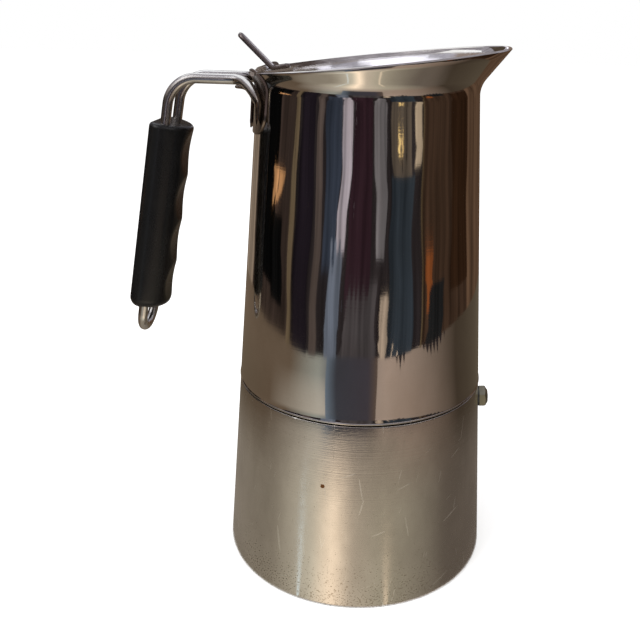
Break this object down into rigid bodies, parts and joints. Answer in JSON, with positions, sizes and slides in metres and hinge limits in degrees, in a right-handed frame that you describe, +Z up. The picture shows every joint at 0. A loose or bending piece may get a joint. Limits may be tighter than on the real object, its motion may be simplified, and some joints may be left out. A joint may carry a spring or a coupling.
{
  "type": "moka pot",
  "caption": "Stove-top stainless steel moka pot: tapered boiler with safety valve, funnel filter, flared collector jug with tilted rim, hinged lid and wire handle with a grooved grip.",
  "frame": {"origin": "centre of the flat underside of the base disc, on the pot's axis at table level", "axes": "+Z up along the pot's axis, +X towards the pouring side, -X towards the handle, Y across the handle's plane and along the lid's hinge pin"},
  "size_m": [0.1487, 0.11, 0.2101],
  "materials": {
    "satin_steel": "satin stainless steel sheet with fine scratches",
    "polished_steel": "mirror polished stainless steel sheet",
    "plain_steel": "plain pressed stainless steel",
    "aluminium_disc": "plain aluminium",
    "valve_brass": "nickel plated brass worn to a dull green grey",
    "valve_seal": "dark sealing washer",
    "bright_wire": "bright drawn stainless steel wire",
    "black_grip": "glossy black plastic",
    "gasket_rubber": "pale silicone rubber"
  },
  "bodies": {
    "boiler": {"boiler_shell": "satin_steel", "base_disc": "aluminium_disc", "boiler_neck": "plain_steel", "valve_body": "valve_brass", "valve_washer": "valve_seal", "valve_nut": "valve_brass", "valve_cap": "valve_brass", "valve_spring": "plain_steel"},
    "plunger": {"valve_plunger": "valve_brass"},
    "funnel": {"funnel_cup": "plain_steel", "funnel_tube": "plain_steel", "funnel_sieve": "plain_steel"},
    "seal": {"gasket": "gasket_rubber", "filter_plate": "plain_steel"},
    "collector": {"collector_shell": "polished_steel", "collector_floor": "plain_steel", "thread_ring": "plain_steel", "column": "plain_steel", "column_cap": "plain_steel", "hinge_plate": "polished_steel", "handle_strap": "polished_steel", "handle_wire": "bright_wire", "handle_grip": "black_grip", "hinge_pin": "bright_wire"},
    "lid": {"lid": "polished_steel", "lid_leaf": "polished_steel", "lid_lever": "polished_steel"}
  },
  "joints": [
    {"name": "valve_blow_off", "type": "slide", "parent": "boiler", "child": "plunger", "axis": [0.9974, 0, 0.0714], "range_m": [0, 0.0012], "stiffness_N_per_m": 400, "springref_m": -0.0005, "deforming": ["valve_spring"]},
    {"name": "funnel_lift", "type": "slide", "parent": "boiler", "child": "funnel", "axis": [0, 0, 1], "range_m": [0, 0.085]},
    {"name": "seal_lift", "type": "slide", "parent": "funnel", "child": "seal", "axis": [0, 0, 1], "range_m": [0, 0.1]},
    {"name": "collector_turn", "type": "hinge", "parent": "seal", "child": "collector", "pos_m": [0, 0, 0.085], "axis": [0, 0, 1], "continuous": true},
    {"name": "lid_hinge", "type": "hinge", "parent": "collector", "child": "lid", "pos_m": [-0.039, 0, 0.19703], "axis": [0, -1, 0], "range_deg": [0, 72]}
  ]
}
